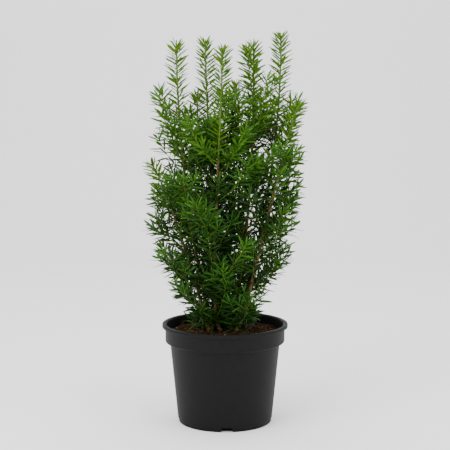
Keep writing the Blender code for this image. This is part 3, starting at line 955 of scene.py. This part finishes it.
def inner_twigs(rng, stem, limb):
    """Twigs all the way up a stem, which fill the crown from inside."""
    twigs = []
    height = SOIL_TOP + INNER_TWIG_RISE
    turn = rng.random() * math.tau
    while height < stem.leader_foot() - INNER_TWIG_END:
        line = stem_twig(rng, limb, height, turn, INNER_TWIG_LENGTHS, INNER_TWIG_PITCH, past_inner_crown)
        # Twigs that reach out to the crown's edge get painted light and inner ones painted shade; higher
        # ones are fresher and get painted light from above
        out = min(float(crown_share(line[-1])), 1)
        high = (height - INNER_HIGH_FROM) / INNER_HIGH_RANGE
        fresh = INNER_FRESHNESS + INNER_OUT_PAINTED_LIGHT * out**2 + INNER_HIGH_FRESHNESS_AND_LIGHT * high
        twigs.append(Twig(line, radius=0.55 * MM, upright=False, freshness_and_light=fresh, bare=0.05))
        height += INNER_TWIG_STEP * rng.uniform(*INNER_TWIG_PLAY)
        turn += GOLDEN_TURN
    return twigs


def grow_twigs(seed):
    """The stems, and every line that bears needles, the leaders first."""
    rng = Random(seed)
    limbs = [grow_stem(stem) for stem in STEMS]
    twigs = leader_twigs(limbs) + shoot_twigs(rng, grow_shoots(STEMS, limbs))
    for stem, limb in zip(STEMS, limbs):
        twigs += low_twigs(rng, limb)
        twigs += inner_twigs(rng, stem, limb)
    return limbs, twigs


class YEW_OT_wood(bpy.types.Operator):
    """Make the brown stems with their bark and the thin green twigs"""

    bl_idname = "yew.wood"
    bl_label = "Stems and twigs"

    def execute(self, context):
        limbs, twigs = grow_twigs(context.scene.yew_plant.seed)
        woody, green = [], []
        for stem, limb in zip(STEMS, limbs):
            heights = limb.centres[:, 2]
            top = stem.leader_foot()
            parts = ((woody, heights <= top + BARK_OVERLAP, BARK_STEP), (green, heights >= top, LEADER_STEP))
            for lines, part, step in parts:
                points, _ = resample(limb.centres[part], step)
                lines.append((points, np.interp(points[:, 2], heights, limb.radii)))
        # The first twigs are the leaders, which are in the stems' own lines
        for twig in twigs[len(STEMS) :]:
            points, _ = resample(twig.points, TWIG_STEP)
            green.append((points, np.linspace(twig.radius, twig.radius * TWIG_TAPER, len(points))))
        # Young yew bark: thin, brown and slightly flaking
        colours = context.scene.yew_colours
        bark = mottled(
            "yew_bark_brown",
            deeper(colours.bark, 0.22),
            colours.bark,
            roughness=0.78,
            grain=4 * MM,
            relief=(0.6, 1.2 * MM, 0.4 * MM),
        )
        stems = tubes("stem_bark", woody, BARK_SIDES, bark, BARK_RELIEF, BARK_GRAIN)
        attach(stems, "root")
        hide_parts(*[n for n in NODES if n.startswith(("stem_", "bough_"))])
        # Young shoots: smooth and green, a little glossy
        rind = mottled(
            "yew_rind_green", deeper(colours.shoot, 0.55), colours.shoot, roughness=0.5, grain=6 * MM
        )
        shoots = tubes("shoot_rind", green, TWIG_SIDES, rind)
        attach(shoots, "root")
        return {"FINISHED"}


# Needle shape: shares of its length and width, in steps from the foot to the tip
NEEDLE_STATIONS = ((0.1, 0.55), (0.38, 1.0), (0.68, 0.92), (0.9, 0.5))
NEEDLE_RIDGE = 0.14
NEEDLE_KEEL = 0.1

# Needles along a twig, with their openings and twists in degrees
NEEDLE_STEP = 1.5 * MM
LEAST_NEEDLES = 6
LEADER_SPACING = 0.6
TIP_CROWDING = 1.25
TURN_PLAY = 0.15
COMB_FLATNESS = (1, 1, 0.45)
OPEN_TURN = 62
OPEN_TURN_LOSS = 8
TIP_CLOSING = 24
TIP_CLOSING_WAY = 6 * MM
OPEN_TURN_PLAY = 7
LEAST_OPEN_TURN = 8
FACE_ALONG = 0.3
FACE_OUT = 0.75
FACE_UP = (0, 0, 0.5)
TWIST_PLAY = 55
LEADER_TWIST = (22, 74)
LENGTH_PLAY = (0.84, 1.08)
WIDTH_PLAY = (0.85, 1.1)
TIP_SHORTENING = 0.32
TIP_SHORTENING_WAY = 7 * MM
FOOT_SHORTENING = 0.2
FOOT_SHORTENING_WAY = 8 * MM
LEADER_LENGTH_SHARE = 0.92
LEADER_WIDTH_SHARE = 0.86
MOST_BEND = 0.12

# Tones from the newest needles with painted light to the oldest ones with painted shade, with the least
# freshness and painted light of each but the last
TONES = ("fresh_tip", "fresh", "leaf", "deep", "shade")
TONE_LIMITS = (0.93, 0.66, 0.44, 0.24)
FOOT_STALENESS_AND_SHADE = 0.22
TIP_FRESHNESS = 0.12
TIP_FRESHNESS_WAY = 14 * MM
TONE_PLAY = 0.07
MOST_NEEDLES = 5200


class Needle(NamedTuple):
    """One needle: foot, direction, way across, normal, size in metres, bend and freshness with painted light
    and shade.
    """

    place: np.ndarray
    way: np.ndarray
    across: np.ndarray
    normal: np.ndarray
    length: float
    width: float
    bend: float
    freshness_and_light: float


def needle_shape():
    """Corners of one unit needle as along, across and height, and its faces: upper side, then underside."""
    corners = [(0, 0, 0)]
    for along, width in NEEDLE_STATIONS:
        corners += [(along, -0.5 * width, 0), (along, 0, NEEDLE_RIDGE * width)]
        corners += [(along, 0.5 * width, 0), (along, 0, -NEEDLE_KEEL * width)]
    corners.append((1, 0, 0))
    upper, under = [(0, 1, 2), (0, 2, 3)], [(0, 3, 4), (0, 4, 1)]
    for k in range(len(NEEDLE_STATIONS) - 1):
        a, b = 1 + 4 * k, 5 + 4 * k
        upper += [(a, b, b + 1, a + 1), (a + 1, b + 1, b + 2, a + 2)]
        under += [(a + 2, b + 2, b + 3, a + 3), (a + 3, b + 3, b, a)]
    a, tip = 4 * len(NEEDLE_STATIONS) - 3, len(corners) - 1
    upper += [(a, tip, a + 1), (a + 1, tip, a + 2)]
    under += [(a + 2, tip, a + 3), (a + 3, tip, a)]
    return np.array(corners), upper, under


def grow_needle(rng, twig, place, along, radial, share, run, settings):
    """One needle at a share of its twig's run. It closes towards the twig near the tip."""
    left = run * (1 - share)
    opening = OPEN_TURN - OPEN_TURN_LOSS * share - TIP_CLOSING * math.exp(-left / TIP_CLOSING_WAY)
    opening += rng.uniform(-OPEN_TURN_PLAY, OPEN_TURN_PLAY)
    opening = math.radians(max(LEAST_OPEN_TURN, opening))
    way = along * math.cos(opening) + radial * math.sin(opening)
    if twig.upright:
        face = along
        twist = rng.choice((-1, 1)) * rng.uniform(*LEADER_TWIST)
    else:
        outward = place * (1, 1, 0) / (np.hypot(*place[:2]) + 1 * MM)
        face = along * FACE_ALONG + outward * FACE_OUT + FACE_UP
        twist = rng.uniform(-TWIST_PLAY, TWIST_PLAY)
    twist = math.radians(twist)
    across = unit(np.cross(way, face))
    across = across * math.cos(twist) + np.cross(way, across) * math.sin(twist)
    length = settings.needle_length * rng.uniform(*LENGTH_PLAY)
    tip_loss = TIP_SHORTENING * math.exp(-left / TIP_SHORTENING_WAY)
    foot_loss = FOOT_SHORTENING * math.exp(-run * share / FOOT_SHORTENING_WAY)
    length *= 1 - tip_loss - foot_loss
    width = settings.needle_width * rng.uniform(*WIDTH_PLAY)
    if twig.upright:
        length *= LEADER_LENGTH_SHARE
        width *= LEADER_WIDTH_SHARE
    # Needles towards a twig's foot are older and lie deeper in the crown, so they take staler tones with
    # painted shade; near the tip they are fresher
    fresh = twig.freshness_and_light - FOOT_STALENESS_AND_SHADE * (1 - share)
    fresh += TIP_FRESHNESS * math.exp(-left / TIP_FRESHNESS_WAY)
    fresh += rng.uniform(-TONE_PLAY, TONE_PLAY)
    bend = rng.uniform(0, MOST_BEND)
    return Needle(place, way, across, np.cross(across, way), length, width, bend, fresh)


def needles_on(rng, twig, settings):
    """The needles along one twig. They stand all round a leader and lie flatter on other twigs."""
    points, run = resample(twig.points, NEEDLE_STEP)
    ways, across, up = cross_frames(points)
    spacing = settings.needle_spacing * (LEADER_SPACING if twig.upright else 1)
    count = max(LEAST_NEEDLES, int(run * (1 - twig.bare) / spacing))
    turn = rng.random() * math.tau
    found = []
    for k in range(count):
        share = twig.bare + (1 - twig.bare) * (1 - (1 - (k + 0.5) / count) ** TIP_CROWDING)
        j = min(int(share * (len(points) - 1) + 0.5), len(points) - 1)
        turn += GOLDEN_TURN + rng.uniform(-TURN_PLAY, TURN_PLAY)
        radial = across[j] * math.cos(turn) + up[j] * math.sin(turn)
        if not twig.upright:
            radial = radial * COMB_FLATNESS
            radial = unit(radial - ways[j] * np.dot(radial, ways[j]))
        found.append(grow_needle(rng, twig, points[j], ways[j], radial, share, run, settings))
    return found


class YEW_OT_needles(bpy.types.Operator):
    """Grow the needles on every shoot and deal them out by tone"""

    bl_idname = "yew.needles"
    bl_label = "Needles"

    def execute(self, context):
        settings = context.scene.yew_plant
        _, twigs = grow_twigs(settings.seed)
        rng = Random(settings.seed + 1)
        groups = {name: [] for name in TONES}
        for twig in twigs:
            for needle in needles_on(rng, twig, settings):
                # The tone follows freshness and painted light, so the darker tones paint the shade inside
                # the crown as well as older needles
                tone = sum(needle.freshness_and_light < limit for limit in TONE_LIMITS)
                groups[TONES[tone]].append(needle)
        colours = context.scene.yew_colours
        masses = [n for n in NODES if n.startswith(("leader_", "spray_"))]
        for tone, needles in groups.items():
            # Yew needles: waxy and satin on top, paler and matt below
            light = getattr(colours, tone)
            top = mottled(
                f"needle_wax_{tone}", deeper(light, 0.6), light, roughness=0.46, grain=16 * MM, specular=0.14
            )
            pale = paler(light)
            back = mottled(f"needle_matt_{tone}", pale, pale, roughness=0.6, grain=16 * MM, specular=0.1)
            for part, first in enumerate(range(0, len(needles), MOST_NEEDLES)):
                batch = needles[first : first + MOST_NEEDLES]
                piece = self.join(f"needles_{tone}_{part + 1}", batch, (top, back))
                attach(piece, "root")
                # The first piece stands for all the solid masses of needles
                if masses:
                    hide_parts(*masses)
                    masses = []
        return {"FINISHED"}

    def join(self, name, needles, materials):
        """One joined mesh of needles."""
        corners, upper, under = needle_shape()
        columns = [np.array(column) for column in zip(*needles)]
        place, way, across, normal = [column[:, None, :] for column in columns[:4]]
        length, width, bend = [column[:, None, None] for column in columns[4:7]]
        along, aside, height = [corners[None, :, k : k + 1] for k in range(3)]
        vertices = place + way * along * length + across * aside * width
        vertices += normal * (height * width - bend * length * along**2)
        faces = []
        for k in range(len(needles)):
            shift = k * len(corners)
            faces += [[shift + corner for corner in face] for face in upper + under]
        finishes = ([0] * len(upper) + [1] * len(under)) * len(needles)
        return mesh_piece(name, vertices.reshape(-1, 3), faces, materials, finishes)


# Stage: a floor that bends up into a wall behind the plant
SWEEP_FRONT = -2.2
SWEEP_BEND = 1.6
SWEEP_RADIUS = 0.9
SWEEP_FIRST_TURN = 0.1
SWEEP_TURNS = 14
SWEEP_TOP = 3.2
SWEEP_HALF_WIDTH = 4
ROOM_LIGHT = 1.15
LAMP_TARGET = (0, 0, 0.3)
CAMERA_PLACE = (0, -1.714, 0.491)
CAMERA_DOWN_TURN = 6.4
CAMERA_LENS = 92

# Square lamps: name, place, size in metres and power in watts
LAMPS = (
    ("key_light", (-1.3, -1.5, 1.9), 1.6, 50),
    ("fill_light", (1.6, -1.3, 1.3), 1.6, 22),
    ("top_light", (0.0, 0.3, 2.3), 1.8, 38),
)


class YEW_OT_stage(bpy.types.Operator):
    """Make the pale sweep, the soft light and the camera"""

    bl_idname = "yew.stage"
    bl_label = "Stage"

    def execute(self, context):
        radius = SWEEP_RADIUS
        profile = [(SWEEP_FRONT, 0.0), (SWEEP_BEND, 0.0)]
        for turn in np.linspace(SWEEP_FIRST_TURN, math.pi / 2, SWEEP_TURNS):
            profile.append((SWEEP_BEND + radius * math.sin(turn), radius - radius * math.cos(turn)))
        profile.append((SWEEP_BEND + radius, SWEEP_TOP))
        vertices = [(x, y, z) for y, z in profile for x in (-SWEEP_HALF_WIDTH, SWEEP_HALF_WIDTH)]
        faces = [(2 * k, 2 * k + 1, 2 * k + 3, 2 * k + 2) for k in range(len(profile) - 1)]
        # Pale matt paper: an even ground that takes the pot's soft shadow
        paper = mottled("paper_sweep_pale", linear("fafafa"), linear("fdfdfd"), roughness=0.9, grain=1.5)
        sweep = mesh_piece("sweep", vertices, faces, [paper])
        world = bpy.data.worlds.new("soft_room")
        world.use_nodes = True
        background = world.node_tree.nodes["Background"]
        background.inputs["Color"].default_value = (1, 1, 1, 1)
        background.inputs["Strength"].default_value = ROOM_LIGHT
        context.scene.world = world
        for name, place, size, power in LAMPS:
            lamp = bpy.data.lights.new(name, "AREA")
            lamp.size = size
            lamp.energy = power
            light = bpy.data.objects.new(name, lamp)
            light.location = place
            aim = Vector(LAMP_TARGET) - Vector(place)
            light.rotation_euler = aim.to_track_quat("-Z", "Y").to_euler()
            context.collection.objects.link(light)
        camera = bpy.data.objects.new("camera", bpy.data.cameras.new("camera"))
        camera.location = CAMERA_PLACE
        camera.rotation_euler = (math.radians(90 - CAMERA_DOWN_TURN), 0, 0)
        camera.data.lens = CAMERA_LENS
        context.collection.objects.link(camera)
        context.scene.camera = camera
        return {"FINISHED"}


class YEW_PT_panel(bpy.types.Panel):
    """Settings of the potted yew and a button for each piece"""

    bl_label = "Potted yew"
    bl_idname = "YEW_PT_panel"
    bl_space_type = "VIEW_3D"
    bl_region_type = "UI"
    bl_category = "Yew"

    def draw(self, context):
        for settings in (context.scene.yew_pot, context.scene.yew_plant, context.scene.yew_colours):
            for name in settings.__annotations__:
                self.layout.prop(settings, name)
        for operator in OPERATORS:
            self.layout.operator(operator.bl_idname)


OPERATORS = (YEW_OT_stage, YEW_OT_pot, YEW_OT_soil, YEW_OT_wood, YEW_OT_needles)
CLASSES = (YewPotSettings, YewPlantSettings, YewColours, *OPERATORS, YEW_PT_panel)


def register():
    for item in CLASSES:
        bpy.utils.register_class(item)
    bpy.types.Scene.yew_pot = bpy.props.PointerProperty(type=YewPotSettings)
    bpy.types.Scene.yew_plant = bpy.props.PointerProperty(type=YewPlantSettings)
    bpy.types.Scene.yew_colours = bpy.props.PointerProperty(type=YewColours)


def unregister():
    del bpy.types.Scene.yew_colours
    del bpy.types.Scene.yew_plant
    del bpy.types.Scene.yew_pot
    for item in reversed(CLASSES):
        bpy.utils.unregister_class(item)


def main():
    register()
    bpy.ops.yew.stage()
    bpy.ops.yew.pot()
    bpy.ops.yew.soil()
    bpy.ops.yew.wood()
    bpy.ops.yew.needles()


if __name__ == "__main__":
    main()
